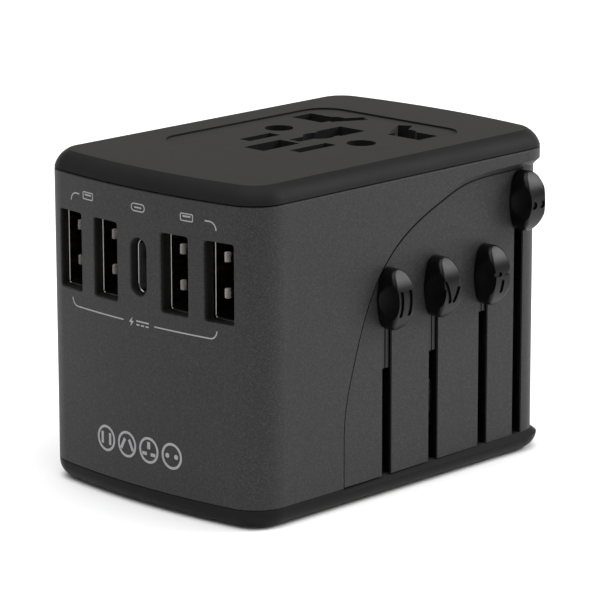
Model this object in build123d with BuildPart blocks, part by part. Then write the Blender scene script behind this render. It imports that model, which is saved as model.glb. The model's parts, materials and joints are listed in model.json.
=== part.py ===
"""Universal travel adapter: a socket on top, USB ports on one end and four slide-out plugs below.

Frame: +Z up, origin at the middle of the underside. The USB ports face -Y and the slider knobs
face +X. All sizes are in millimetres.
"""

import math
import os

from build123d import *

os.makedirs("parts", exist_ok=True)

# Casing
body_width = 50.0
body_depth = 75.0
body_height = 55.7
bow_radius = 127.0
corner_radius = 6.3
wall = 2.2
base_height = 3.5
cap_height = 2.8
cap_gap = 0.2
cap_round = 4.35
cap_break_angle = 25.0
cap_skin = 2.0
base_round = 3.0
seam = 0.2
lip_wall = 1.2
lip_height = 2.5
lip_gap = 0.1
sleeve_top = body_height - cap_height - cap_gap
sleeve_height = sleeve_top - base_height

# Recess round the sliders: its floor slopes in from the left edge to the corner
recess_start_y = -15.7
recess_end_y = 29.0
recess_start_depth = 0.3
recess_depth = 1.1
recess_top = 50.8
recess_wrap_x = -9.0
ledge_drop = 0.85
groove_width = 0.2
groove_depth = 0.3
cut_margin = 0.2
recess_run = recess_end_y - recess_start_y
recess_fade = (recess_depth - recess_start_depth) / recess_run

# Slots, stems and knobs of the four plugs, named by the pins they carry
plug_names = ["us", "aus", "uk", "eu"]
slider_y = {"us": -5.25, "aus": 6.3, "uk": 18.95, "eu": 28.0}
knob_z = {"us": 33.4, "aus": 33.4, "uk": 33.2, "eu": 44.4}
plug_floor = {"us": 21.5, "aus": 22.3, "uk": 26.6, "eu": 36.6}
slot_width = 2.35
slot_clearance = 0.4
stem_width = 1.7
stem_height = 7.0
stem_reach = 1.3
strip_setback = 0.45
strip_groove = 0.3
liner_wall = 0.2
liner_setback = 0.12
knob_half_width = 2.6
knob_side_radius = 11.0
knob_end_radius = 2.05
knob_rise = 4.15
knob_dome_radius = 7.0
knob_gap = 0.2
knob_edge = 0.7
scoop_radius = 12.0
scoop_out = 4.92
scoop_aside = 11.08
sign_depth = 0.32
sign_line = 0.75
sign_drop = 0.4
carrier_height = 6.4
carrier_front_x = 22.4
post_depth = 3.0
post_width = 4.2
seat_z = base_height + 0.1

# Pins
us_blade = (1.52, 6.35)
us_pitch = 12.7
aus_blade = (6.35, 1.63)
aus_pitch = 13.7
aus_lean = 60.0
uk_pin = (6.35, 4.0)
uk_earth_pin = (4.0, 8.0)
uk_pitch = 22.23
uk_earth_offset = 22.23
eu_pin_radius = 2.0
eu_pitch = 19.0
pin_out = {"us": 17.5, "aus": 17.35, "uk": 17.7, "uk_earth": 22.7, "eu": 19.0}
pin_stub = 0.8
pin_clearance = 0.3
pin_sleeve = 0.5
bare_tip = 8.2

# Socket face
panel_recess = 0.3
panel_size = (34.0, 41.0)
panel_centre_y = 2.8
panel_corner = 5.0
panel_fit = 0.05
flange = 1.5
flange_height = 1.6
panel_top = body_height - panel_recess
socket_line_y = 15.4
socket_earth_y = socket_line_y - uk_earth_offset
socket_us_y = -3.2
socket_eu_y = 4.6

# USB ports
port_x = [-17.1, -7.95, 7.95, 17.1]
port_z = 39.95
port_window = (5.85, 13.1)
port_shell = (5.7, 12.95)
port_recess = 2.0
usb_c_recess = 1.5
port_metal = 0.3
spring_spacing = 5.9
spring_rise = 0.25
spring_size = 1.75
spring_corner = 0.45
usb_c_window = (3.7, 9.6)
window_break = 0.15
usb_c_shell_size = (3.4, 9.3)
mouth_break = 0.07
usb_c_z = 40.0
board_y = -18.0
board_thickness = 1.6

# Inside
divider_y = -16.2
deck_z = 35.1
deck_thickness = 1.8
block_top = 51.9
strip = 0.5
screw_places = [(-14.0, 33.2), (14.0, 33.2), (-20.1, -31.9), (20.1, -31.9)]
screw_radius = 1.1
screw_head_radius = 1.8
screw_head_height = 1.6
screw_length = 9.5
boss_radius = 1.9
boss_height = 11.0


def recess_floor_x(y):
    """X of the recess floor at y."""
    return body_width / 2 - recess_start_depth - recess_fade * (y - recess_start_y)


def bow_y(x):
    """Y of the bowed USB face at x."""
    return bow_radius - body_depth / 2 - math.sqrt(bow_radius**2 - x**2)


def casing_outline(inset=0.0):
    """Plan of the casing, with flat sides, bowed ends and round corners, moved in by inset."""
    half = body_width / 2 - inset
    apex = body_depth / 2 - inset
    bow = bow_radius - inset
    end = apex - bow + math.sqrt(bow**2 - half**2)
    with BuildSketch() as outline:
        with BuildLine():
            Line((half, -end), (half, end))
            ThreePointArc((half, end), (0, apex), (-half, end))
            Line((-half, end), (-half, -end))
            ThreePointArc((-half, -end), (0, -apex), (half, -end))
        make_face()
        fillet(outline.vertices(), corner_radius - inset)
    return outline.sketch


def on_window_rim(edge):
    """Whether an edge is part of a port window's rim on the bowed face."""
    middle = edge @ 0.5
    near_window = abs(middle.Z - port_z) < port_window[1] / 2 + 0.1 and abs(middle.X) < 20.5
    return near_window and abs(middle.Y - bow_y(middle.X)) < 0.05 and edge.length < 20


def write(piece, name):
    """Label a finished piece and write its STEP file."""
    piece.part.label = name
    export_step(piece.part, f"parts/{name}.step")


def block(x_range, y_range, z_range):
    """A box between two corners, as a loose solid."""
    size = [high - low for low, high in (x_range, y_range, z_range)]
    middle = [(low + high) / 2 for low, high in (x_range, y_range, z_range)]
    return Pos(*middle) * Box(*size, mode=Mode.PRIVATE)


# Shape that is cut away round the sliders: a swoosh on the flat face, wrapped round the corner
recess_plane = Plane(
    origin=(recess_floor_x(recess_start_y), recess_start_y, 0),
    x_dir=(-recess_fade, 1, 0),
    z_dir=(1, recess_fade, 0),
)
floor_top = recess_top - recess_depth
with BuildSketch() as recess_outline:
    with BuildLine():
        Line((0, -2), (0, 12))
        Spline(
            [(0, 12), (2.3, 23.6), (7.85, 36.35), (15.8, 43.7), (24.9, 47.7), (37.5, floor_top)],
            tangents=[(0, 1), (1, 0)],
        )
        Line((37.5, floor_top), (recess_run, floor_top))
        Line((recess_run, floor_top), (recess_run, -2))
        Line((recess_run, -2), (0, -2))
    make_face()

with BuildPart() as recess_face_cut:
    with BuildSketch(recess_plane):
        add(recess_outline.sketch)
    extrude(amount=recess_depth + 0.9, taper=-45)

# Thin groove along the foot of the swoosh's wall
with BuildPart() as recess_groove:
    with BuildSketch(recess_plane):
        add(recess_outline.sketch)
        add(Pos(groove_width, -groove_width) * recess_outline.sketch, mode=Mode.SUBTRACT)
    extrude(amount=-groove_depth)

with BuildPart() as casing_core:
    with BuildSketch(Plane.XY.offset(-1)):
        add(casing_outline(recess_depth))
    extrude(amount=floor_top + 1)
    with BuildSketch(Plane.XY.offset(floor_top)):
        add(casing_outline(recess_depth))
    extrude(amount=recess_depth + 2 * cut_margin, taper=-45)

corner_block = block(
    (recess_wrap_x, body_width / 2 + 1),
    (recess_end_y, body_depth / 2 + 1),
    (0, recess_top + cut_margin),
)
recess_corner_cut = corner_block - casing_core.part

# Outer sleeve
with BuildPart() as sleeve:
    with BuildSketch(Plane.XY.offset(base_height)):
        add(casing_outline())
        add(casing_outline(wall), mode=Mode.SUBTRACT)
    extrude(amount=sleeve_height)
    top_rim = sleeve.faces().sort_by(Axis.Z)[-1].outer_wire().edges()
    chamfer(top_rim, length=0.2)
    with BuildSketch(Plane.XY.offset(base_height)):
        with Locations(screw_places):
            Circle(boss_radius)
    extrude(amount=boss_height)
    with BuildSketch(Plane.XY.offset(base_height)):
        with Locations(screw_places):
            Circle(screw_radius + 0.05)
    extrude(amount=screw_length + 0.5, mode=Mode.SUBTRACT)
    with BuildSketch(Plane.XY.offset(base_height)):
        add(casing_outline(-3))
        add(casing_outline(0), mode=Mode.SUBTRACT)
    extrude(amount=sleeve_height, mode=Mode.SUBTRACT)
    add(recess_face_cut.part, mode=Mode.SUBTRACT)
    add(recess_groove.part, mode=Mode.SUBTRACT)
    add(recess_corner_cut, mode=Mode.SUBTRACT)
    for name in plug_names:
        slot_top = knob_z[name] + stem_height / 2 + slot_clearance
        with BuildSketch(Plane.YZ.offset(body_width / 2 - wall - 3)):
            with Locations((slider_y[name], slot_top / 2)):
                Rectangle(slot_width, slot_top)
        extrude(amount=wall + 4, mode=Mode.SUBTRACT)
    with BuildSketch(Plane.XZ.offset(body_depth / 2 - wall - 3)):
        with Locations([(x, port_z) for x in port_x]):
            RectangleRounded(*port_window, 0.5)
        with Locations((0, usb_c_z)):
            SlotOverall(usb_c_window[1], usb_c_window[0], rotation=90)
    extrude(amount=wall + 4, mode=Mode.SUBTRACT)
    window_rims = sleeve.edges().filter_by(on_window_rim)
    chamfer(window_rims, length=window_break)
write(sleeve, "sleeve")

# Slot liners: thin black guides that the stems slide in
with BuildPart() as slot_liners:
    for name in plug_names:
        slot_top = knob_z[name] + stem_height / 2 + slot_clearance
        liner_front = recess_floor_x(slider_y[name] + slot_width / 2) - liner_setback
        with BuildSketch(Plane.YZ.offset(body_width / 2 - wall)):
            with Locations((slider_y[name], (base_height + slot_top) / 2)):
                Rectangle(slot_width, slot_top - base_height)
            with Locations((slider_y[name], (base_height + slot_top - liner_wall) / 2)):
                Rectangle(
                    slot_width - 2 * liner_wall, slot_top - liner_wall - base_height, mode=Mode.SUBTRACT
                )
        extrude(amount=liner_front - body_width / 2 + wall)
write(slot_liners, "slot_liners")

# Top cap: a frame round the socket panel, with a lip that fits inside the sleeve. Its rounded
# side stops short of level, so the flat top ends in a crisp edge
cap_round_rise = cap_round * (1 - math.cos(math.radians(cap_break_angle)))
cap_foot_angle = math.acos(1 - (cap_round_rise + cap_height) / cap_round)
cap_brim = cap_round * (1 - math.sin(cap_foot_angle))
with BuildPart() as top_cap:
    with BuildSketch(Plane.XY.offset(body_height - 2 * cap_round)):
        add(casing_outline(-cap_brim))
    extrude(amount=2 * cap_round + cap_round_rise)
    fillet(top_cap.edges().group_by(Axis.Z)[-1], radius=cap_round)
    split(bisect_by=Plane.XY.offset(body_height), keep=Keep.BOTTOM)
    split(bisect_by=Plane.XY.offset(sleeve_top + cap_gap), keep=Keep.TOP)
    with BuildSketch(Plane.XY.offset(sleeve_top + cap_gap)):
        add(casing_outline(wall))
    extrude(amount=cap_height - cap_skin, mode=Mode.SUBTRACT)
    with BuildSketch(Plane.XY.offset(body_height - cap_skin)):
        add(casing_outline(wall + lip_gap))
        add(casing_outline(wall + lip_gap + lip_wall), mode=Mode.SUBTRACT)
    extrude(amount=-(lip_height + cap_height - cap_skin))
    with BuildSketch(Plane.XY.offset(body_height - cap_skin)):
        with Locations((0, panel_centre_y)):
            RectangleRounded(*panel_size, panel_corner)
    extrude(amount=cap_skin, mode=Mode.SUBTRACT)
write(top_cap, "top_cap")

# Socket panel: set a little below the cap's face, with holes for every common plug
with BuildPart() as socket_panel:
    with BuildSketch(Plane.XY.offset(body_height - cap_skin)):
        with Locations((0, panel_centre_y)):
            RectangleRounded(
                panel_size[0] - 2 * panel_fit, panel_size[1] - 2 * panel_fit, panel_corner
            )
    extrude(amount=cap_skin - panel_recess)
    with BuildSketch(Plane.XY.offset(body_height - cap_skin)):
        with Locations((0, panel_centre_y)):
            RectangleRounded(panel_size[0] + 2 * flange, panel_size[1] + 2 * flange, panel_corner)
    extrude(amount=-flange_height)
    with BuildSketch(Plane.XY.offset(panel_top)):
        for side in (-1, 1):
            with Locations((side * uk_pitch / 2, socket_line_y)):
                Rectangle(7.2, 4.8)
            with Locations((side * 8.2, socket_line_y + 1.4)):
                Circle(1.9)
            with Locations(Location((side * 6.2, socket_line_y + 2.6), side * 30)):
                Rectangle(2.5, 6.6)
            with Locations((side * us_pitch / 2, socket_us_y - (side + 1) / 2 * 0.4)):
                Rectangle(2.5, 7.3 + (side + 1) / 2 * 1.3)
            with Locations((side * eu_pitch / 2, socket_eu_y)):
                Circle(2.5)
        with Locations((0, socket_earth_y)):
            Rectangle(4.6, 8.6)
        with Locations((0, 1.2)):
            Rectangle(2.5, 5.4)
        with Locations((0, 4.3)):
            Circle(2.7)
        with Locations((0, 6.3)):
            Rectangle(4.6, 1.6)
        with Locations((0, 9.7)):
            Rectangle(5.8, 6.0)
    extrude(amount=-(cap_skin + flange_height), mode=Mode.SUBTRACT)
write(socket_panel, "socket_panel")


def pin_layout():
    """Plan of every pin: plug name, node name, centre, size and turn."""
    rows = []
    for side, pole in ((-1, "live"), (1, "neutral")):
        rows.append(("us", f"us_blade_{pole}", (side * us_pitch / 2, slider_y["us"]), us_blade, 0))
        rows.append(
            ("aus", f"aus_blade_{pole}", (side * aus_pitch / 2, slider_y["aus"]), aus_blade,
             -side * aus_lean)
        )
        rows.append(("uk", f"uk_pin_{pole}", (side * uk_pitch / 2, slider_y["uk"]), uk_pin, 0))
    earth_centre = (0, slider_y["uk"] - uk_earth_offset)
    rows.append(("uk", "uk_pin_earth", earth_centre, uk_earth_pin, 0))
    return rows


def pin_height(name, plug):
    """Length of a pin below its carrier's floor."""
    out = pin_out["uk_earth"] if name == "uk_pin_earth" else pin_out[plug]
    return out + seat_z


# Base cap: closes the underside, with a guide hole for every pin and a sloped ledge below the recess
ledge_slope = recess_depth / ledge_drop
ledge_low = base_height - ledge_drop - cut_margin
with BuildPart() as ledge_core:
    with BuildSketch(Plane.XY.offset(ledge_low - cut_margin)):
        add(casing_outline(-2 * cut_margin * ledge_slope))
    extrude(amount=ledge_drop + 3 * cut_margin, taper=math.degrees(math.atan(ledge_slope)))
ledge_zone = block(
    (body_width / 2 - 8, body_width / 2 + 1),
    (recess_start_y - recess_start_depth, body_depth / 2 + 1),
    (ledge_low, base_height + cut_margin / 2),
)
ledge_wrap = block(
    (recess_wrap_x, body_width / 2 + 1),
    (recess_end_y, body_depth / 2 + 1),
    (ledge_low, base_height + cut_margin / 2),
)
ledge_cut = ledge_zone + ledge_wrap - ledge_core.part

with BuildPart() as base_cap:
    with BuildSketch():
        add(casing_outline())
    extrude(amount=base_height)
    fillet(base_cap.edges().group_by(Axis.Z)[0], radius=base_round)
    chamfer(base_cap.edges().group_by(Axis.Z)[-1], length=seam)
    with BuildSketch(Plane.XY.offset(base_height)):
        add(casing_outline(wall + lip_gap))
        add(casing_outline(wall + lip_gap + lip_wall), mode=Mode.SUBTRACT)
        with Locations((body_width / 2 - 4, 10)):
            Rectangle(9, 54, mode=Mode.SUBTRACT)
        with Locations(screw_places):
            Circle(boss_radius + 0.4, mode=Mode.SUBTRACT)
    extrude(amount=lip_height)
    with BuildSketch():
        for plug, name, centre, size, turn in pin_layout():
            with Locations(Location(centre, turn)):
                Rectangle(size[0] + 2 * pin_clearance, size[1] + 2 * pin_clearance)
        with Locations([(side * eu_pitch / 2, slider_y["eu"]) for side in (-1, 1)]):
            Circle(eu_pin_radius + pin_clearance)
    extrude(amount=base_height, mode=Mode.SUBTRACT)
    with Locations([Location((x, y, 0), (180, 0, 0)) for x, y in screw_places]):
        CounterBoreHole(screw_radius + 0.2, screw_head_radius + 0.15, screw_head_height + 0.3, 9)
    add(ledge_cut, mode=Mode.SUBTRACT)
write(base_cap, "base_cap")

# Screws up through the base cap into the sleeve's bosses
with BuildPart() as base_screws:
    with BuildSketch(Plane.XY.offset(0.3)):
        with Locations(screw_places):
            Circle(screw_head_radius)
    extrude(amount=screw_head_height)
    with BuildSketch(Plane.XY.offset(0.3 + screw_head_height)):
        with Locations(screw_places):
            Circle(screw_radius)
    extrude(amount=screw_length)
    with BuildSketch(Plane.XY.offset(0.3)):
        with Locations(screw_places):
            Rectangle(2.4, 0.6)
            Rectangle(0.6, 2.4)
    extrude(amount=0.8, mode=Mode.SUBTRACT)
write(base_screws, "base_screws")

# Pins and blades, each with a stub above its carrier that meets the bus bar's finger
for plug, name, centre, size, turn in pin_layout():
    top = plug_floor[plug] + carrier_height + pin_stub
    if name == "uk_pin_earth":
        top = plug_floor[plug] + carrier_height - 2.2
    tip = plug_floor[plug] - pin_height(name, plug)
    with BuildPart() as pin:
        with BuildSketch(Plane.XY.offset(tip)):
            with Locations(Location(centre, turn)):
                Rectangle(*size)
        extrude(amount=top - tip)
        chamfer(pin.edges().group_by(Axis.Z)[0], length=0.5)
        if plug == "uk" and name != "uk_pin_earth":
            with BuildSketch(Plane.XY.offset(tip + bare_tip)):
                with Locations(centre):
                    Rectangle(*size)
                    Rectangle(size[0] - 2 * pin_sleeve, size[1] - 2 * pin_sleeve, mode=Mode.SUBTRACT)
            extrude(amount=pin_height(name, plug) - bare_tip, mode=Mode.SUBTRACT)
    write(pin, name)

eu_tip = plug_floor["eu"] - pin_height("eu_pin", "eu")
eu_sleeved = plug_floor["eu"] - eu_tip - bare_tip
for side, pole in ((-1, "live"), (1, "neutral")):
    with BuildPart() as eu_pin:
        with BuildSketch(Plane.XY.offset(eu_tip)):
            with Locations((side * eu_pitch / 2, slider_y["eu"])):
                Circle(eu_pin_radius)
        extrude(amount=plug_floor["eu"] + carrier_height + pin_stub - eu_tip)
        fillet(eu_pin.edges().group_by(Axis.Z)[0], radius=1.4)
        with BuildSketch(Plane.XY.offset(eu_tip + bare_tip)):
            with Locations((side * eu_pitch / 2, slider_y["eu"])):
                Circle(eu_pin_radius)
                Circle(eu_pin_radius - pin_sleeve, mode=Mode.SUBTRACT)
        extrude(amount=eu_sleeved, mode=Mode.SUBTRACT)
    write(eu_pin, f"eu_pin_{pole}")

# Insulating sleeves moulded on the upper half of the pins
with BuildPart() as eu_pin_sleeves:
    with BuildSketch(Plane.XY.offset(eu_tip + bare_tip)):
        with Locations([(side * eu_pitch / 2, slider_y["eu"]) for side in (-1, 1)]):
            Circle(eu_pin_radius - 0.1)
            Circle(eu_pin_radius - pin_sleeve, mode=Mode.SUBTRACT)
    extrude(amount=eu_sleeved)
write(eu_pin_sleeves, "eu_pin_sleeves")

uk_tip = plug_floor["uk"] - pin_height("uk_pin", "uk")
with BuildPart() as uk_pin_sleeves:
    with BuildSketch(Plane.XY.offset(uk_tip + bare_tip)):
        with Locations([(side * uk_pitch / 2, slider_y["uk"]) for side in (-1, 1)]):
            Rectangle(uk_pin[0] - 0.1, uk_pin[1] - 0.1)
            Rectangle(uk_pin[0] - 2 * pin_sleeve, uk_pin[1] - 2 * pin_sleeve, mode=Mode.SUBTRACT)
    extrude(amount=pin_height("uk_pin", "uk") - bare_tip)
write(uk_pin_sleeves, "uk_pin_sleeves")

# Plug carriers: moulded bars that hold the pins, with a post and a stem behind each slot.
# Their plans don't overlap, so each one slides past the others.
carrier_bars = {
    "us": [(-7.75, 22.4, -12.6, -9.2), (-7.75, -4.95, -12.6, -1.9), (4.95, 7.75, -12.6, -1.9),
           (12.0, 22.4, -12.6, -2.9)],
    "aus": [(-9.6, 22.4, 4.2, 8.4)],
    "uk": [(-19.6, 22.4, 16.2, 21.7), (-19.6, -14.6, -1.2, 21.7), (-19.6, 3.2, -1.2, 1.4)],
    "eu": [(-13.0, 20.0, 25.4, 30.6)],
}


def carrier(plug):
    """A plug's carrier, less the room for its pins."""
    floor = plug_floor[plug]
    front = carrier_front_x if plug != "eu" else 22.1
    with BuildPart() as body:
        with BuildSketch(Plane.XY.offset(floor)):
            for x_low, x_high, y_low, y_high in carrier_bars[plug]:
                with Locations(((x_low + x_high) / 2, (y_low + y_high) / 2)):
                    Rectangle(x_high - x_low, y_high - y_low)
            if plug == "aus":
                for side in (-1, 1):
                    with Locations(Location((side * aus_pitch / 2, slider_y["aus"]),
                                            -side * aus_lean)):
                        Rectangle(7.6, 2.9)
        extrude(amount=carrier_height)
        if plug == "uk":
            with BuildSketch(Plane.XY.offset(floor)):
                with Locations((0, -3.45)):
                    Rectangle(6.4, 9.7)
            extrude(amount=carrier_height - 2.2)
        with BuildSketch(Plane.XY.offset(floor)):
            with Locations((front - post_depth / 2, slider_y[plug])):
                Rectangle(post_depth, post_width)
        extrude(amount=knob_z[plug] + stem_height / 2 + 1 - floor)
        with BuildSketch(Plane.YZ.offset(front)):
            with Locations((slider_y[plug], knob_z[plug])):
                Rectangle(stem_width, stem_height)
        extrude(amount=recess_floor_x(slider_y[plug]) + knob_gap + stem_reach - front)
        if plug != "eu":
            strip_top = knob_z[plug] - stem_height / 2
            strip_front = recess_floor_x(slider_y[plug]) - strip_setback
            with BuildSketch(Plane.YZ.offset(front)):
                with Locations((slider_y[plug], (floor + strip_top) / 2)):
                    Rectangle(stem_width, strip_top - floor)
            extrude(amount=strip_front - front)
            with BuildSketch(Plane.YZ.offset(strip_front)):
                with Locations((slider_y[plug], (floor + strip_top) / 2)):
                    Rectangle(strip_groove, strip_top - floor)
            extrude(amount=-strip_groove, mode=Mode.SUBTRACT)
        with BuildSketch(Plane.XY.offset(floor)):
            for owner, name, centre, size, turn in pin_layout():
                if owner == plug:
                    with Locations(Location(centre, turn)):
                        Rectangle(*size)
            if plug == "eu":
                with Locations([(side * eu_pitch / 2, slider_y["eu"]) for side in (-1, 1)]):
                    Circle(eu_pin_radius)
        extrude(amount=carrier_height, mode=Mode.SUBTRACT)
    return body


def knob_sign(plug):
    """The plug's pin pattern, as the solid that is sunk into its knob. It reads upside down."""
    back = recess_floor_x(slider_y[plug]) + knob_gap
    with BuildPart() as sign:
        with BuildSketch(Plane.YZ.offset(back + 1)):
            with Locations((slider_y[plug], knob_z[plug] - sign_drop)):
                for side in (-1, 1):
                    if plug == "us":
                        with Locations((side * 1.0, 0)):
                            SlotOverall(4.4, sign_line, rotation=90)
                    elif plug == "aus":
                        with Locations((side * 1.1, 0)):
                            SlotOverall(4.2, sign_line, rotation=90 - side * 20)
                    elif plug == "uk":
                        with Locations((side * 1.05, 1.0)):
                            SlotOverall(1.7, sign_line)
                    else:
                        with Locations((side * 1.0, 0)):
                            Circle(0.9 * sign_line)
                if plug == "uk":
                    with Locations((0, -1.2)):
                        SlotOverall(2.4, sign_line, rotation=90)
        extrude(amount=knob_rise)
        with BuildSketch(Plane.XZ.offset(-slider_y[plug])):
            with Locations((back + knob_rise - knob_dome_radius, knob_z[plug])):
                Circle(knob_dome_radius - sign_depth)
        extrude(amount=knob_half_width + 1, both=True, mode=Mode.SUBTRACT)
    return sign.part


def knob(plug):
    """A slider's knob: oval, domed from end to end, with scooped sides and a pocket for the stem."""
    back = recess_floor_x(slider_y[plug]) + knob_gap
    side_centre = knob_side_radius - knob_half_width
    with BuildPart() as body:
        with BuildSketch(Plane.YZ.offset(back)) as outline:
            with Locations((slider_y[plug] - side_centre, knob_z[plug])):
                Circle(knob_side_radius)
            with Locations((slider_y[plug] + side_centre, knob_z[plug])):
                Circle(knob_side_radius, mode=Mode.INTERSECT)
            fillet(outline.vertices(), knob_end_radius)
        extrude(amount=knob_rise)
        with BuildSketch(Plane.XZ.offset(-slider_y[plug])):
            with Locations((back + knob_rise - knob_dome_radius, knob_z[plug])):
                Circle(knob_dome_radius)
        extrude(amount=knob_half_width + 1, both=True, mode=Mode.INTERSECT)
        rim = body.edges().filter_by(lambda edge: edge.center().X > back + 1)
        fillet(rim, radius=knob_edge)
        for side in (-1, 1):
            scoop_y = slider_y[plug] + side * (knob_half_width + scoop_aside)
            with Locations((back + scoop_out, scoop_y, knob_z[plug])):
                Sphere(scoop_radius, mode=Mode.SUBTRACT)
        with BuildSketch(Plane.YZ.offset(back)):
            with Locations((slider_y[plug], knob_z[plug])):
                Rectangle(stem_width, stem_height)
        extrude(amount=stem_reach, mode=Mode.SUBTRACT)
        add(knob_sign(plug), mode=Mode.SUBTRACT)
    return body


for plug in plug_names:
    write(carrier(plug), f"{plug}_plug_carrier")
    write(knob(plug), f"{plug}_slider_knob")

# Frame inside the casing: a wall between the mains side and the USB board, and a side rail
with BuildPart() as inner_frame:
    add(block((-22.3, 22.3), (divider_y - 1.4, divider_y), (6.2, 49.8)))
    add(block((-22.3, -20.6), (divider_y, 24.0), (6.2, deck_z)))
    add(block((-18.2, -10.4), (divider_y, -13.2), (8.0, 12.0)))
    add(block((-18.2, -10.4), (divider_y, -13.2), (24.0, 28.0)))
write(inner_frame, "inner_frame")

# Contact block: an insulating tray under the socket panel
with BuildPart() as contact_block:
    add(block((-21.0, 18.4), (-16.0, 24.0), (deck_z, block_top)))
    add(block((-19.4, 16.8), (-14.4, 22.4), (deck_z + deck_thickness, block_top)), mode=Mode.SUBTRACT)
    add(block((-2.8, 2.8), (socket_earth_y - 4.8, socket_earth_y + 4.8), (deck_z, block_top)),
        mode=Mode.SUBTRACT)
write(contact_block, "contact_block")

# Bus bars under the contact block, with a finger that hangs down beside each pin
finger_places = {"us": -13.4, "aus": 10.9, "uk": 22.1, "eu": 24.4}
finger_x = {"us": us_pitch / 2, "aus": aus_pitch / 2, "uk": uk_pitch / 2, "eu": eu_pitch / 2}
for side, pole in ((-1, "live"), (1, "neutral")):
    with BuildPart() as bus_bar:
        low_x, high_x = sorted((side * 5.2, side * 13.0))
        add(block((low_x, high_x), (-13.4, 24.9), (deck_z - 0.1 - strip, deck_z - 0.1)))
        for plug in plug_names:
            middle_x = side * finger_x[plug]
            low_y = finger_places[plug]
            add(block((middle_x - 1.1, middle_x + 1.1), (low_y, low_y + strip), (7.0, deck_z - 0.1)))
    write(bus_bar, f"{pole}_bus_bar")

with BuildPart() as earth_bus_bar:
    add(block((3.6, 4.1), (-6.0, -2.0), (7.0, deck_z - 0.1)))
    add(block((3.6, 4.9), (-6.0, -2.0), (deck_z - 0.1 - strip, deck_z - 0.1)))
write(earth_bus_bar, "earth_bus_bar")

# Socket contacts: a strip on the tray's floor with pairs of leaves that grip each plug's pins
leaf_low = deck_z + deck_thickness
leaf_high = 48.0
for side, pole in ((-1, "live"), (1, "neutral")):
    with BuildPart() as socket_contact:
        low_x, high_x = sorted((side * 4.3, side * 14.8))
        add(block((low_x, high_x), (-7.4, 19.3), (leaf_low, leaf_low + strip)))
        for gap in (-1.9, 1.4):
            middle = side * us_pitch / 2 + gap
            add(block((middle, middle + strip), (-6.2, 0.4), (leaf_low, leaf_high)))
        for gap in (-2.9, 2.4):
            middle = side * eu_pitch / 2 + gap
            add(block((middle, middle + strip), (3.2, 6.0), (leaf_low, leaf_high)))
        for gap in (-3.2, 2.7):
            low_y = socket_line_y + gap
            low_x, high_x = sorted((side * 8.4, side * 14.0))
            add(block((low_x, high_x), (low_y, low_y + strip), (leaf_low, leaf_high)))
    write(socket_contact, f"{pole}_socket_contact")

with BuildPart() as earth_socket_contact:
    for side in (-1, 1):
        low_x, high_x = sorted((side * 2.9, side * 3.4))
        add(block((low_x, high_x), (-11.0, -2.8), (leaf_low, leaf_high)))
    add(block((-3.4, 3.4), (-13.2, -12.7), (leaf_low, leaf_low + 5)))
    for side in (-1, 1):
        low_x, high_x = sorted((side * 2.9, side * 3.4))
        add(block((low_x, high_x), (-12.7, -11.0), (leaf_low, leaf_low + 5)))
write(earth_socket_contact, "earth_socket_contact")

# USB board, standing behind the ports
board_front = board_y - board_thickness
with BuildPart() as usb_board:
    add(block((-20.6, 20.6), (board_front, board_y), (15.0, 49.6)))
write(usb_board, "usb_board")



def shell_spring(inner_x, mouth, z):
    """A spring tab that bulges in from a port shell's -X wall, its leading corners rounded."""
    with BuildPart() as spring:
        with BuildSketch(Plane.XY.offset(z - spring_size / 2)):
            with BuildLine():
                Polyline((inner_x - 0.1, mouth + 7.0), (inner_x - 0.1, mouth + 1.85),
                         (inner_x + 0.6, mouth + 2.7))
                ThreePointArc(
                    (inner_x + 0.6, mouth + 2.7), (inner_x + 0.75, mouth + 3.2),
                    (inner_x + 0.65, mouth + 3.8),
                )
                Line((inner_x + 0.65, mouth + 3.8), (inner_x - 0.1, mouth + 7.0))
            make_face()
        extrude(amount=spring_size)
        with BuildSketch(Plane.YZ.offset(inner_x - 0.1)):
            with Locations((mouth + 4.9, z)):
                RectangleRounded(6.1, spring_size, spring_corner)
        extrude(amount=1.0, mode=Mode.INTERSECT)
    return spring.part


for number, x in enumerate(port_x, start=1):
    mouth = bow_y(x) + port_recess
    with BuildPart() as shell:
        with BuildSketch(Plane.XZ.offset(-mouth)):
            with Locations((x, port_z)):
                RectangleRounded(*port_shell, 0.6)
                RectangleRounded(
                    port_shell[0] - 2 * port_metal, port_shell[1] - 2 * port_metal, 0.35,
                    mode=Mode.SUBTRACT,
                )
        extrude(amount=-(board_front - mouth))
        chamfer(shell.faces().sort_by(Axis.Y)[0].inner_wires()[0].edges(), length=mouth_break)
        inner_x = x - port_shell[0] / 2 + port_metal
        for side in (-1, 1):
            add(shell_spring(inner_x, mouth, port_z + spring_rise + side * spring_spacing / 2))
    write(shell, f"usb_a_shell_{number}")

    with BuildPart() as tongue:
        add(block((x + 0.3, x + 2.1), (mouth + 1.0, board_front), (port_z - 5.5, port_z + 5.5)))
        chamfer(tongue.edges().group_by(Axis.Y)[0], length=0.3)
    write(tongue, f"usb_a_tongue_{number}")

    with BuildPart() as contacts:
        for z in (-3.5, -1.0, 1.0, 3.5):
            add(block((x + 0.1, x + 0.3), (mouth + 1.6, board_front), (port_z + z - 0.5, port_z + z + 0.5)))
    write(contacts, f"usb_a_contacts_{number}")

usb_c_mouth = bow_y(0) + usb_c_recess
with BuildPart() as usb_c_shell:
    with BuildSketch(Plane.XZ.offset(-usb_c_mouth)):
        with Locations((0, usb_c_z)):
            SlotOverall(usb_c_shell_size[1], usb_c_shell_size[0], rotation=90)
            SlotOverall(
                usb_c_shell_size[1] - 2 * port_metal, usb_c_shell_size[0] - 2 * port_metal,
                rotation=90, mode=Mode.SUBTRACT,
            )
    extrude(amount=-(board_front - usb_c_mouth))
    chamfer(usb_c_shell.faces().sort_by(Axis.Y)[0].inner_wires()[0].edges(), length=mouth_break)
write(usb_c_shell, "usb_c_shell")


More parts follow.
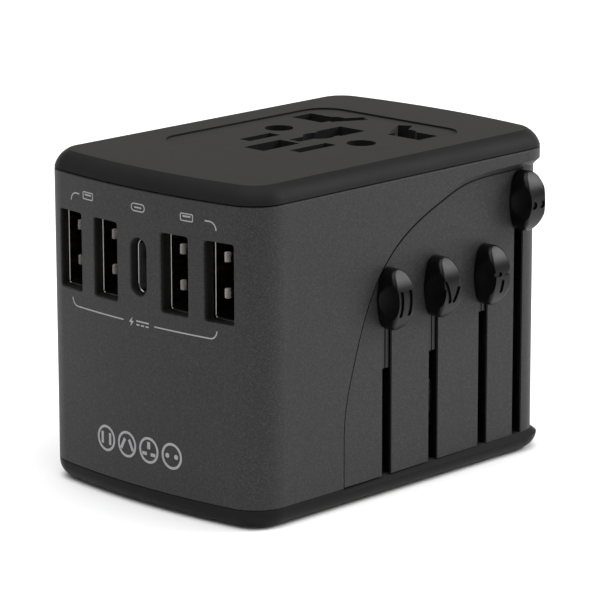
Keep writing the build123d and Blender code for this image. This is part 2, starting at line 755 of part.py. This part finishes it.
with BuildPart() as usb_c_tongue:
    add(block((-0.35, 0.35), (usb_c_mouth + 0.8, board_front), (usb_c_z - 3.3, usb_c_z + 3.3)))
    chamfer(usb_c_tongue.edges().group_by(Axis.Y)[0], length=0.2)
write(usb_c_tongue, "usb_c_tongue")

# Power parts on the lower half of the board
with BuildPart() as transformer_core:
    add(block((-16.5, -2.5), (-32.0, board_front), (17.0, 31.0)))
    add(block((-16.5, -2.5), (-30.5, board_front - 1.5), (19.5, 28.5)), mode=Mode.SUBTRACT)
    add(block((-12.0, -7.0), (-30.5, board_front - 1.5), (19.5, 28.5)))
write(transformer_core, "transformer_core")

with BuildPart() as transformer_coil:
    add(block((-15.9, -3.1), (-30.2, board_front - 1.8), (19.9, 28.1)))
    add(block((-12.0, -7.0), (-31.0, board_front), (19.4, 28.6)), mode=Mode.SUBTRACT)
write(transformer_coil, "transformer_coil")

for name, x, z, radius, length in (
    ("mains_capacitor", 4.2, 24.0, 4.6, 13.0),
    ("output_capacitor", 13.0, 26.5, 3.2, 9.5),
):
    with BuildPart() as capacitor:
        with BuildSketch(Plane.XZ.offset(-board_front)):
            with Locations((x, z)):
                Circle(radius)
        extrude(amount=length)
        fillet(capacitor.edges().group_by(Axis.Y)[0], radius=0.5)
    write(capacitor, name)

with BuildPart() as choke_coil:
    with BuildSketch(Plane.XZ.offset(-board_front)):
        with Locations((14.0, 18.6)):
            Circle(3.4)
            Circle(1.4, mode=Mode.SUBTRACT)
    extrude(amount=3.4)
    fillet(choke_coil.edges().filter_by(GeomType.CIRCLE), radius=0.8)
write(choke_coil, "choke_coil")

# Mains fuse, upright in two clips on the frame
fuse_place = (-14.3, -9.8)
fuse_low = 8.0
fuse_high = 28.0
fuse_end = 4.5
with BuildPart() as fuse_tube:
    with BuildSketch(Plane.XY.offset(fuse_low + fuse_end)):
        with Locations(fuse_place):
            Circle(2.5)
    extrude(amount=fuse_high - fuse_low - 2 * fuse_end)
write(fuse_tube, "fuse_tube")

with BuildPart() as fuse_end_caps:
    for low in (fuse_low, fuse_high - fuse_end):
        with BuildSketch(Plane.XY.offset(low)):
            with Locations(fuse_place):
                Circle(2.6)
        extrude(amount=fuse_end)
write(fuse_end_caps, "fuse_end_caps")

with BuildPart() as fuse_clips:
    for low in (fuse_low + 0.6, fuse_high - fuse_end + 0.6):
        with BuildSketch(Plane.XY.offset(low)):
            with Locations(fuse_place):
                Circle(3.15)
                Circle(2.65, mode=Mode.SUBTRACT)
            with Locations((fuse_place[0], fuse_place[1] - 3.2)):
                Rectangle(5.0, 0.4)
            with Locations((fuse_place[0], fuse_place[1] + 3.0)):
                Rectangle(3.0, 3.0, mode=Mode.SUBTRACT)
        extrude(amount=3.3)
write(fuse_clips, "fuse_clips")
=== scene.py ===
"""Looks of a universal travel adapter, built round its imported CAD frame. Lengths are in metres."""

import json
import math

import bmesh
import bpy
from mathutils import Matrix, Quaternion, Vector


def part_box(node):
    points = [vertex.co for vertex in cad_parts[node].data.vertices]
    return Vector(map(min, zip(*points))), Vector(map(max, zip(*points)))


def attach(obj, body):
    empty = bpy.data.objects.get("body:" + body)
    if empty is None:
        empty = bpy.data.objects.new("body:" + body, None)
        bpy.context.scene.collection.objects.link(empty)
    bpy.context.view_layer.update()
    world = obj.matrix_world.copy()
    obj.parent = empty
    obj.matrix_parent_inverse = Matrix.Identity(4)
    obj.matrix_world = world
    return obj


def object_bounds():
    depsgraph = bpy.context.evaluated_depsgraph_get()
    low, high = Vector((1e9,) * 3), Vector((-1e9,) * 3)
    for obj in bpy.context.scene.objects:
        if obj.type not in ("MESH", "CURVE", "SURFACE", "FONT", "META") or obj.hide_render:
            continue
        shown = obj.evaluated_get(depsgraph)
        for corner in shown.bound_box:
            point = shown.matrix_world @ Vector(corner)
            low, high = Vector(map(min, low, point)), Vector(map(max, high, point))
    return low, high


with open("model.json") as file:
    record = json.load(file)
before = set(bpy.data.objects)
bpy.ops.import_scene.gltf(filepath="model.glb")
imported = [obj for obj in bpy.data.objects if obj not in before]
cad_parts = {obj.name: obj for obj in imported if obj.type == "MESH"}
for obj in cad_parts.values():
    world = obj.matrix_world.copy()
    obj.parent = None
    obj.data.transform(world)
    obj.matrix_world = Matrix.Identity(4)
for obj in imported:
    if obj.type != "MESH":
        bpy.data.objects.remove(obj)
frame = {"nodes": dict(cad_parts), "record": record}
nodes = frame["nodes"]
cad_low, cad_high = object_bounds()
centre = (cad_low + cad_high) / 2
ports_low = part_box("usb_a_shell_1")[0]
ports_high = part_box("usb_a_shell_4")[1]
mm = 0.001
bow_radius = 127 * mm  # curve of the USB face, about an upright line

# Camera, light and floor. Azimuth 0 is in front of -Y, and 90 is in front of +X
camera_azimuth = 44.031
camera_elevation = 13.946
camera_roll = -0.137
camera_distance = 0.5957
camera_target = Vector((-0.00016, 0.00018, 0.02682))
camera_sensor = 36.0
camera_lens = 212.4
camera_shift = (-0.0017, 0.0097)
camera_clip = (0.05, 20.0)
world_light = 0.30
light_distance = 1.0
floor_radius = 4.0
floor_gap = 0.02 * mm

# Printed marks: how far the ink stands out of the face and reaches into it, and how it is drawn
ink_lift = 0.02 * mm
ink_depth = 0.04 * mm
line_step = 0.6 * mm
same_point = 0.02 * mm

# Lines that tie the ports together
bracket_line = 0.21 * mm
bracket_top = ports_high.z + 3.3 * mm
bracket_low = ports_low.z - 2.7 * mm
bracket_half = ports_high.x - 3.2 * mm
bracket_corner = 1.35 * mm
hook_end = 14.5 * mm
output_half_gap = 3.6 * mm

# Pictures of the ports' mouths
mouth_line = 0.18 * mm
usb_a_mouths = (-12.2 * mm, 10.8 * mm)
usb_c_mouth = 0.15 * mm

# Flash and direct current sign
flash_x = -1.7 * mm
current_x = 0.9 * mm
current_line = 0.24 * mm

# Row of rings, each with a plug's pin pattern
ring_size = 4.0 * mm
ring_pitch = 5.15 * mm
ring_line = 0.42 * mm
first_ring_x = -8.35 * mm
ring_row_z = 9.9 * mm
pin_line = 0.56 * mm


# ---------------------------------------------------------------- material tools

def grey(level):
    return (level, level, level)


class Finish:
    """A procedural material: a Principled shader with object coordinates to hang textures on."""

    def __init__(self, name, metallic=0.0, specular=0.5, coat=0.0, coat_roughness=0.1):
        self.material = bpy.data.materials.new(name)
        self.material.use_nodes = True
        self.tree = self.material.node_tree
        self.shader = self.tree.nodes["Principled BSDF"]
        self.constant("Metallic", metallic)
        self.constant("Specular IOR Level", specular)
        self.constant("Coat Weight", coat)
        self.constant("Coat Roughness", coat_roughness)
        self.place = self.tree.nodes.new("ShaderNodeTexCoord").outputs["Object"]
        self.normal = None

    def constant(self, socket, value):
        """Sets a shader socket to one value for the whole surface."""
        self.shader.inputs[socket].default_value = value

    def link(self, source, target):
        self.tree.links.new(source, target)

    def stretched(self, stretch):
        """Object coordinates scaled by a different amount along each axis."""
        node = self.tree.nodes.new("ShaderNodeMapping")
        node.inputs["Scale"].default_value = stretch
        self.link(self.place, node.inputs["Vector"])
        return node.outputs["Vector"]

    def coordinate(self, axis):
        """Object coordinate along X, Y or Z."""
        node = self.tree.nodes.new("ShaderNodeSeparateXYZ")
        self.link(self.place, node.inputs["Vector"])
        return node.outputs[axis]

    def from_upright(self, y):
        """Distance from the upright line at x = 0 and the given y."""
        node = self.tree.nodes.new("ShaderNodeVectorMath")
        node.operation = "DISTANCE"
        node.inputs[1].default_value = (0.0, y, 0.0)
        self.link(self.stretched((1.0, 1.0, 0.0)), node.inputs[0])
        return node.outputs["Value"]

    def noise(self, grain, detail=2.0, stretch=None):
        """Smooth noise whose lumps are about one grain across."""
        node = self.tree.nodes.new("ShaderNodeTexNoise")
        node.inputs["Scale"].default_value = 1.0 / grain
        node.inputs["Detail"].default_value = detail
        self.link(self.stretched(stretch) if stretch else self.place, node.inputs["Vector"])
        return node.outputs["Fac"]

    def cells(self, grain, output="Color"):
        """Random value of each small cell, one grain across, or the distance from its middle."""
        node = self.tree.nodes.new("ShaderNodeTexVoronoi")
        node.inputs["Scale"].default_value = 1.0 / grain
        self.link(self.place, node.inputs["Vector"])
        return node.outputs[output]

    def spread(self, value, low, high, start=0.3, end=0.7):
        """Value from start..end mapped to low..high."""
        node = self.tree.nodes.new("ShaderNodeMapRange")
        node.inputs["From Min"].default_value = start
        node.inputs["From Max"].default_value = end
        node.inputs["To Min"].default_value = low
        node.inputs["To Max"].default_value = high
        self.link(value, node.inputs["Value"])
        return node.outputs["Result"]

    def below(self, value, full, none):
        """1 where value is up to full, and less beyond it, down to 0 at none."""
        return self.spread(value, 1.0, 0.0, full, none)

    def product(self, first, second):
        node = self.tree.nodes.new("ShaderNodeMath")
        node.operation = "MULTIPLY"
        self.link(first, node.inputs[0])
        self.link(second, node.inputs[1])
        return node.outputs["Value"]

    def blend(self, share, first, second):
        """Mix of two colours, each a tuple or another node's output."""
        node = self.tree.nodes.new("ShaderNodeMix")
        node.data_type = "RGBA"
        self.link(share, node.inputs["Factor"])
        for name, colour in (("A", first), ("B", second)):
            socket = next(s for s in node.inputs if s.name == name and s.type == "RGBA")
            if isinstance(colour, tuple):
                socket.default_value = (*colour, 1.0)
            else:
                self.link(colour, socket)
        return next(s for s in node.outputs if s.type == "RGBA")

    def mottle(self, noise, first, second):
        """Two colours shared out by a noise."""
        return self.blend(self.spread(noise, 0.0, 1.0), first, second)

    def bump(self, height, depth, strength):
        """Adds relief, depth in metres."""
        node = self.tree.nodes.new("ShaderNodeBump")
        node.inputs["Distance"].default_value = depth
        node.inputs["Strength"].default_value = strength
        self.link(height, node.inputs["Height"])
        if self.normal:
            self.link(self.normal, node.inputs["Normal"])
        self.normal = node.outputs["Normal"]

    def done(self, colour, roughness):
        """Joins colour, roughness and relief to the shader and returns the material."""
        self.link(colour, self.shader.inputs["Base Color"])
        self.link(roughness, self.shader.inputs["Roughness"])
        if self.normal:
            self.link(self.normal, self.shader.inputs["Normal"])
        return self.material


# ---------------------------------------------------------------- materials

def sleeve_plastic():
    """Satin dark grey paint with fine metallic flakes, with painted shade turning it near black just
    inside the port windows.
    """
    finish = Finish("sleeve_finish", specular=0.22)
    cloud = finish.noise(9 * mm, detail=3)
    grain = finish.noise(0.15 * mm, detail=4)
    flakes = finish.spread(finish.cells(0.16 * mm), 0.0, 1.0, 0.55, 1.0)
    ground = finish.mottle(cloud, (0.0082, 0.0080, 0.0080), (0.0102, 0.0100, 0.0100))
    speckled = finish.mottle(grain, ground, (0.0335, 0.0325, 0.0327))
    painted = finish.blend(flakes, speckled, (0.045, 0.0435, 0.0437))

    # Painted shade: near black from 0.15 mm to 0.9 mm deep under the USB face, up to 1 mm past the
    # last port and within 6 mm of the front
    from_axis = finish.from_upright(cad_low.y + bow_radius)
    inside = finish.below(from_axis, bow_radius - 0.9 * mm, bow_radius - 0.15 * mm)
    beside = ports_high.x + 1.0 * mm
    between = finish.below(finish.coordinate("X"), beside, beside + 0.2 * mm)
    behind = cad_low.y + 6 * mm
    front = finish.below(finish.coordinate("Y"), behind, behind + 1 * mm)
    painted_window_shade = finish.product(finish.product(inside, between), front)

    finish.bump(finish.noise(0.3 * mm, detail=2), 0.006 * mm, 0.6)
    finish.bump(grain, 0.004 * mm, 0.5)
    # The paint colour, darkened to near black by painted shade inside the port windows
    colour = finish.blend(painted_window_shade, painted, grey(0.006))
    return finish.done(colour, finish.spread(grain, 0.46, 0.58))


def cap_plastic():
    """Soft-touch black rubberised plastic: warm, very matt, with a faint powdery grain."""
    finish = Finish("cap_finish", specular=0.06)
    finish.constant("Sheen Weight", 0.20)
    finish.constant("Sheen Roughness", 0.27)
    finish.constant("Sheen Tint", (1.0, 0.96, 0.87, 1.0))
    cloud = finish.noise(14 * mm, detail=4)
    grain = finish.noise(0.12 * mm, detail=2)
    ground = finish.mottle(cloud, (0.0078, 0.0079, 0.0082), (0.0098, 0.0099, 0.0102))
    colour = finish.blend(finish.spread(grain, 0.0, 0.5), ground, (0.0140, 0.0142, 0.0147))
    finish.bump(grain, 0.004 * mm, 0.6)
    return finish.done(colour, finish.spread(cloud, 0.50, 0.58))


def knob_plastic():
    """Black satin plastic, polished by thumbs."""
    finish = Finish("knob_finish", specular=0.16)
    grain = finish.noise(0.10 * mm, detail=2)
    rub = finish.noise(2.2 * mm, detail=4)
    colour = finish.mottle(rub, grey(0.0014), grey(0.0026))
    finish.bump(grain, 0.003 * mm, 0.5)
    return finish.done(colour, finish.spread(rub, 0.31, 0.37))


def frame_plastic():
    """Plain dark grey moulding with flow marks and a spark-eroded texture."""
    finish = Finish("frame_finish", specular=0.2)
    flow = finish.noise(3 * mm, detail=4, stretch=(1.0, 1.0, 0.25))
    pits = finish.noise(0.2 * mm, detail=3)
    colour = finish.mottle(flow, grey(0.020), grey(0.028))
    finish.bump(pits, 0.01 * mm, 0.5)
    return finish.done(colour, finish.spread(pits, 0.44, 0.60))


def drawn_metal(name, dark, light, roughness, drawn_along):
    """Metal with fine drawing lines along X, Y or Z, and faint stains."""
    finish = Finish(name, metallic=1.0)
    stretch = tuple(0.04 if axis == drawn_along else 1.0 for axis in "XYZ")
    lines = finish.noise(0.12 * mm, detail=3, stretch=stretch)
    stain = finish.noise(2.5 * mm, detail=4)
    colour = finish.mottle(stain, dark, light)
    finish.bump(lines, 0.004 * mm, 0.5)
    return finish.done(colour, finish.spread(lines, *roughness))


def plated_pins():
    return drawn_metal("pin_finish", (0.58, 0.56, 0.52), (0.70, 0.69, 0.66), (0.20, 0.34), "Z")


def contact_brass():
    return drawn_metal("brass_finish", (0.52, 0.36, 0.15), (0.68, 0.50, 0.24), (0.26, 0.42), "Z")


def gold_contacts():
    return drawn_metal("gold_finish", (0.66, 0.44, 0.16), (0.80, 0.58, 0.26), (0.22, 0.34), "Y")


def plated_steel():
    return drawn_metal("screw_finish", (0.40, 0.40, 0.41), (0.55, 0.55, 0.56), (0.28, 0.46), "X")


def port_steel():
    """Bright rolled steel sheet, smooth enough to mirror the contacts, with faint rolling marks."""
    finish = Finish("port_steel_finish", metallic=1.0)
    marks = finish.noise(1.5 * mm, detail=3, stretch=(1.0, 0.4, 1.0))
    colour = finish.mottle(marks, (0.24, 0.232, 0.22), (0.29, 0.28, 0.265))
    return finish.done(colour, finish.spread(marks, 0.20, 0.24))


def smooth_plastic(name, dark, light, roughness, specular=0.4):
    """Plain moulded plastic: slight colour drift, fine surface grain."""
    finish = Finish(name, specular=specular)
    drift = finish.noise(4 * mm, detail=3)
    grain = finish.noise(0.14 * mm, detail=2)
    colour = finish.mottle(drift, dark, light)
    finish.bump(grain, 0.004 * mm, 0.4)
    return finish.done(colour, finish.spread(grain, *roughness))


def pin_insulation():
    return smooth_plastic("insulation_finish", grey(0.012), grey(0.018), (0.32, 0.44))


def port_tongue():
    return smooth_plastic("tongue_finish", grey(0.008), (0.014, 0.013, 0.013), (0.45, 0.60))


def fuse_ceramic():
    dark, light = (0.66, 0.64, 0.58), (0.76, 0.75, 0.70)
    return smooth_plastic("ceramic_finish", dark, light, (0.18, 0.30), specular=0.5)


def usb_c_tongue():
    """Black moulded tongue whose front edge is a bare steel plate."""
    finish = Finish("usb_c_tongue_finish", specular=0.4)
    tip_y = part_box("usb_c_tongue")[0].y
    tip = finish.below(finish.coordinate("Y"), tip_y + 2.4 * mm, tip_y + 2.6 * mm)
    grain = finish.noise(0.14 * mm, detail=3)
    black = finish.mottle(grain, grey(0.006), grey(0.012))
    steel = finish.mottle(grain, (0.56, 0.59, 0.68), (0.66, 0.69, 0.78))
    finish.bump(grain, 0.004 * mm, 0.4)
    return finish.done(finish.blend(tip, black, steel), finish.spread(grain, 0.35, 0.50))


def circuit_board():
    """Green solder mask with copper tracks showing through, on woven glass."""
    finish = Finish("board_finish", coat=0.4, coat_roughness=0.2)
    weave = finish.noise(0.5 * mm, detail=1, stretch=(1.0, 1.0, 0.2))
    tracks = finish.spread(finish.cells(2.6 * mm, "Distance"), 0.0, 1.0, 0.45, 0.50)
    mask = finish.mottle(weave, (0.006, 0.060, 0.022), (0.009, 0.078, 0.030))
    colour = finish.blend(tracks, mask, (0.022, 0.140, 0.045))
    finish.bump(tracks, 0.03 * mm, 0.5)
    return finish.done(colour, finish.spread(weave, 0.30, 0.42))


def ferrite():
    """Pressed ferrite: nearly black, granular and slightly metallic."""
    finish = Finish("ferrite_finish", metallic=0.2)
    grain = finish.noise(0.18 * mm, detail=4)
    colour = finish.mottle(grain, (0.018, 0.017, 0.016), (0.045, 0.042, 0.038))
    finish.bump(grain, 0.02 * mm, 0.6)
    return finish.done(colour, finish.spread(grain, 0.38, 0.62))


def coil_tape():
    """Yellow polyester tape, wound round the coil, with the edges of its turns showing."""
    finish = Finish("tape_finish")
    turns = finish.noise(0.8 * mm, detail=1, stretch=(0.05, 0.05, 1.0))
    smear = finish.noise(1.6 * mm, detail=3)
    colour = finish.mottle(smear, (0.52, 0.36, 0.03), (0.66, 0.47, 0.05))
    finish.bump(turns, 0.04 * mm, 0.5)
    return finish.done(colour, finish.spread(turns, 0.24, 0.42))


def capacitor_can():
    """Dark shrink sleeve over an aluminium can."""
    finish = Finish("capacitor_finish", coat=0.3, coat_roughness=0.15)
    drift = finish.noise(2.4 * mm, detail=3)
    colour = finish.mottle(drift, (0.012, 0.014, 0.035), (0.018, 0.022, 0.052))
    finish.bump(drift, 0.04 * mm, 0.3)
    return finish.done(colour, finish.spread(drift, 0.25, 0.38))


def print_ink():
    """Pale grey pad-printed ink with a fine grain."""
    finish = Finish("ink_finish", specular=0.3)
    grain = finish.noise(0.12 * mm, detail=3)
    colour = finish.mottle(grain, (0.23, 0.23, 0.24), (0.35, 0.35, 0.36))
    finish.bump(grain, 0.003 * mm, 0.4)
    return finish.done(colour, finish.spread(grain, 0.45, 0.60))


def floor_finish():
    """Matt white studio floor with a very slight unevenness."""
    finish = Finish("floor_finish", specular=0.1)
    cloud = finish.noise(0.3, detail=2)
    colour = finish.mottle(cloud, grey(0.93), grey(0.95))
    return finish.done(colour, finish.spread(cloud, 0.75, 0.85))


# Each CAD node takes the material of its slot in the record
slot_materials = {
    make.__name__: make()
    for make in (
        sleeve_plastic, cap_plastic, knob_plastic, frame_plastic,
        plated_pins, pin_insulation, contact_brass, gold_contacts, plated_steel,
        port_steel, port_tongue, usb_c_tongue,
        circuit_board, ferrite, coil_tape, capacitor_can, fuse_ceramic,
    )
}
node_slots = {entry["node"]: entry["material_slot"] for entry in frame["record"]["subparts"]}
for name, node in nodes.items():
    for material_slot in node.material_slots:
        material_slot.material = slot_materials[node_slots[name]]
ink = print_ink()


# ---------------------------------------------------------------- drawing on the USB face

sleeve = nodes["sleeve"]
bpy.context.view_layer.update()


def on_usb_face(x, z, lift):
    """Point on the bowed USB face at x, z, lifted outward."""
    start = Vector((x, cad_low.y - 10 * mm, z))
    found, spot, _, _ = sleeve.ray_cast(start, Vector((0, 1, 0)))
    if not found:
        raise ValueError(f"no face at {x}, {z}")
    return Vector((x, spot.y - lift, z))


def arc(middle, radius, start, end, steps=8):
    """Points along an arc, angles in degrees."""
    turns = [math.radians(start + (end - start) * i / steps) for i in range(steps + 1)]
    return [(middle[0] + radius * math.cos(t), middle[1] + radius * math.sin(t)) for t in turns]


def circle(middle, radius, count):
    """Points round a circle, the first not repeated."""
    return arc(middle, radius, 0, 360 * (count - 1) / count, count - 1)


def even_line(start, end):
    """Points along a straight line, no further apart than line_step."""
    count = max(1, math.ceil(math.dist(start, end) / line_step))
    run, rise = end[0] - start[0], end[1] - start[1]
    return [(start[0] + run * i / count, start[1] + rise * i / count) for i in range(count + 1)]


def path_through(*stretches):
    """One list of points from several, with repeated points dropped."""
    points = []
    for stretch in stretches:
        for point in stretch:
            if not points or math.dist(point, points[-1]) > same_point:
                points.append(point)
    return points


def round_rectangle(middle, width, height, corner):
    """Closed path of a rectangle with round corners."""
    half_x, half_z = width / 2 - corner, height / 2 - corner
    stretches = []
    for quarter, (sign_x, sign_z) in enumerate(((1, 1), (-1, 1), (-1, -1), (1, -1))):
        corner_middle = (middle[0] + sign_x * half_x, middle[1] + sign_z * half_z)
        stretches.append(arc(corner_middle, corner, quarter * 90, quarter * 90 + 90, 5))
    return path_through(*stretches)


def stroke(mesh, points, width, closed=False):
    """A thin closed solid of one width along points, pressed on the USB face."""
    count = len(points)
    rings = []
    for i, point in enumerate(points):
        before = points[(i - 1) % count] if closed or i > 0 else point
        after = points[(i + 1) % count] if closed or i < count - 1 else point
        along = Vector((after[0] - before[0], after[1] - before[1])).normalized()
        side = Vector((-along.y, along.x)) * width / 2
        ring = []
        for sign, lift in ((1, ink_lift), (-1, ink_lift), (-1, -ink_depth), (1, -ink_depth)):
            spot = on_usb_face(point[0] + sign * side.x, point[1] + sign * side.y, lift)
            ring.append(mesh.verts.new(spot))
        rings.append(ring)
    pairs = list(zip(rings, rings[1:]))
    if closed:
        pairs.append((rings[-1], rings[0]))
    for first, second in pairs:
        for k in range(4):
            mesh.faces.new((first[k], first[(k + 1) % 4], second[(k + 1) % 4], second[k]))
    if not closed:
        mesh.faces.new(reversed(rings[0]))
        mesh.faces.new(rings[-1])


def patch(mesh, outline):
    """A thin closed solid with the given outline, pressed on the USB face."""
    top = [mesh.verts.new(on_usb_face(x, z, ink_lift)) for x, z in outline]
    bottom = [mesh.verts.new(on_usb_face(x, z, -ink_depth)) for x, z in outline]
    mesh.faces.new(top)
    mesh.faces.new(reversed(bottom))
    for i in range(len(outline)):
        j = (i + 1) % len(outline)
        mesh.faces.new((top[i], bottom[i], bottom[j], top[j]))


def dot(mesh, middle, radius):
    patch(mesh, circle(middle, radius, 16))


def bar(mesh, middle, length, width, angle=0):
    """A straight stroke, centred, at an angle in degrees from the X axis."""
    turn = math.radians(angle)
    reach = (math.cos(turn) * length / 2, math.sin(turn) * length / 2)
    start = (middle[0] - reach[0], middle[1] - reach[1])
    end = (middle[0] + reach[0], middle[1] + reach[1])
    stroke(mesh, even_line(start, end), width)


def add(name, data):
    """A new object in the scene."""
    item = bpy.data.objects.new(name, data)
    bpy.context.scene.collection.objects.link(item)
    return item


def mesh_piece(mesh, name, material):
    """A new object from a finished bmesh."""
    data = bpy.data.meshes.new(name)
    mesh.to_mesh(data)
    mesh.free()
    data.materials.append(material)
    return add(name, data)


def finish_print(mesh, name):
    """Turns the collected strokes into a piece that rides on the casing."""
    bmesh.ops.recalc_face_normals(mesh, faces=mesh.faces)
    piece = mesh_piece(mesh, name, ink)
    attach(piece, "casing")


# ---------------------------------------------------------------- printed marks

def port_brackets():
    """Lines that tie the ports together: two hooks above and a bracket below."""
    mesh = bmesh.new()
    for side in (-1, 1):
        middle_x = side * (bracket_half - bracket_corner)
        hook = path_through(
            arc((middle_x, bracket_top - bracket_corner), bracket_corner, 90 - side * 90, 90),
            even_line((middle_x, bracket_top), (side * hook_end, bracket_top)),
        )
        stroke(mesh, hook, bracket_line)
        lower = path_through(
            arc((middle_x, bracket_low + bracket_corner), bracket_corner, -90 + side * 90, -90),
            even_line((middle_x, bracket_low), (side * output_half_gap, bracket_low)),
        )
        stroke(mesh, lower, bracket_line)
    finish_print(mesh, "port_brackets")


def port_signs():
    """A small picture of the port's mouth above each kind of port."""
    mesh = bmesh.new()
    for x in usb_a_mouths:
        mouth = round_rectangle((x, bracket_top), 2.5 * mm, 1.15 * mm, corner=0.2 * mm)
        stroke(mesh, mouth, mouth_line, closed=True)
        bar(mesh, (x, bracket_top + 0.15 * mm), length=1.6 * mm, width=0.26 * mm)
    middle = (usb_c_mouth, bracket_top + 0.05 * mm)
    mouth = round_rectangle(middle, 3.0 * mm, 1.2 * mm, corner=0.58 * mm)
    stroke(mesh, mouth, mouth_line, closed=True)
    bar(mesh, middle, length=1.6 * mm, width=0.24 * mm)
    finish_print(mesh, "port_signs")


def output_sign():
    """A lightning flash and the direct current sign, a line over three dashes."""
    mesh = bmesh.new()
    half_flash = [(0.25 * mm, 0.8 * mm), (-0.55 * mm, -0.12 * mm), (-0.06 * mm, -0.12 * mm)]
    flash = half_flash + [(-x, -z) for x, z in half_flash]
    patch(mesh, [(flash_x + x, bracket_low + z) for x, z in flash])
    bar(mesh, (current_x, bracket_low + 0.28 * mm), length=2.9 * mm, width=current_line)
    for shift in (-1.05 * mm, 0, 1.05 * mm):
        dash_middle = (current_x + shift, bracket_low - 0.32 * mm)
        bar(mesh, dash_middle, length=0.7 * mm, width=current_line)
    finish_print(mesh, "output_sign")


def pin_pattern(mesh, plug, middle):
    """The plug's pins, seen end on: bars, slanted bars, three blocks or two dots."""
    x, z = middle
    reach = ring_size * 0.24
    for side in (-1, 1):
        pin_x = x + side * reach
        if plug == "us":
            bar(mesh, (pin_x, z), ring_size * 0.5, pin_line, angle=90)
        elif plug == "aus":
            bar(mesh, (pin_x, z), ring_size * 0.5, pin_line, angle=90 + side * 28)
        elif plug == "uk":
            bar(mesh, (pin_x, z - ring_size * 0.16), ring_size * 0.26, pin_line)
        else:
            dot(mesh, (pin_x, z), pin_line * 0.75)
    if plug == "uk":
        bar(mesh, (x, z + ring_size * 0.2), ring_size * 0.3, pin_line * 1.2, angle=90)


def plug_signs():
    """A row of four rings, each with one plug's pin pattern, low on the USB face."""
    mesh = bmesh.new()
    for place, plug in enumerate(("us", "aus", "uk", "eu")):
        middle = (first_ring_x + place * ring_pitch, ring_row_z)
        stroke(mesh, circle(middle, ring_size / 2, 40), ring_line, closed=True)
        pin_pattern(mesh, plug, middle)
    finish_print(mesh, "plug_signs")


# ---------------------------------------------------------------- studio

def toward(azimuth, elevation):
    """Unit vector away from the part."""
    turn, lift = math.radians(azimuth), math.radians(elevation)
    level = math.cos(lift)
    return Vector((math.sin(turn) * level, -math.cos(turn) * level, math.sin(lift)))


def floor():
    """A wide round floor under the part."""
    mesh = bmesh.new()
    bmesh.ops.create_circle(mesh, cap_ends=True, segments=96, radius=floor_radius)
    piece = mesh_piece(mesh, "floor", floor_finish())
    piece.location.z = cad_low.z - floor_gap


def softbox(name, azimuth, elevation, size, power):
    """A square area light that faces the part."""
    data = bpy.data.lights.new(name, "AREA")
    data.shape = "RECTANGLE"
    data.size = data.size_y = size
    data.energy = power
    away = toward(azimuth, elevation)
    light = add(name, data)
    light.location = centre + away * light_distance
    light.rotation_mode = "QUATERNION"
    light.rotation_quaternion = away.to_track_quat("Z", "Y")


def studio():
    """Pale surroundings, a large soft light above and a smaller one behind on the right."""
    world = bpy.data.worlds.new("studio")
    world.use_nodes = True
    background = world.node_tree.nodes["Background"]
    background.inputs["Color"].default_value = (1.0, 1.0, 1.0, 1.0)
    background.inputs["Strength"].default_value = world_light
    bpy.context.scene.world = world
    softbox("top_light", azimuth=10, elevation=78, size=1.2, power=15.5)
    softbox("rear_light", azimuth=146, elevation=31, size=0.5, power=7.5)


def camera():
    """The camera, aimed and then rolled about its own axis."""
    data = bpy.data.cameras.new("camera")
    data.sensor_width = camera_sensor
    data.lens = camera_lens
    data.shift_x, data.shift_y = camera_shift
    data.clip_start, data.clip_end = camera_clip
    back = toward(camera_azimuth, camera_elevation)
    roll = Quaternion((0, 0, 1), math.radians(camera_roll))
    view = add("camera", data)
    view.location = camera_target + back * camera_distance
    view.rotation_mode = "QUATERNION"
    view.rotation_quaternion = (-back).to_track_quat("-Z", "Y") @ roll
    bpy.context.scene.camera = view


for make in (port_brackets, port_signs, output_sign, plug_signs, floor, studio, camera):
    make()
bpy.context.scene.view_settings.view_transform = "Standard"
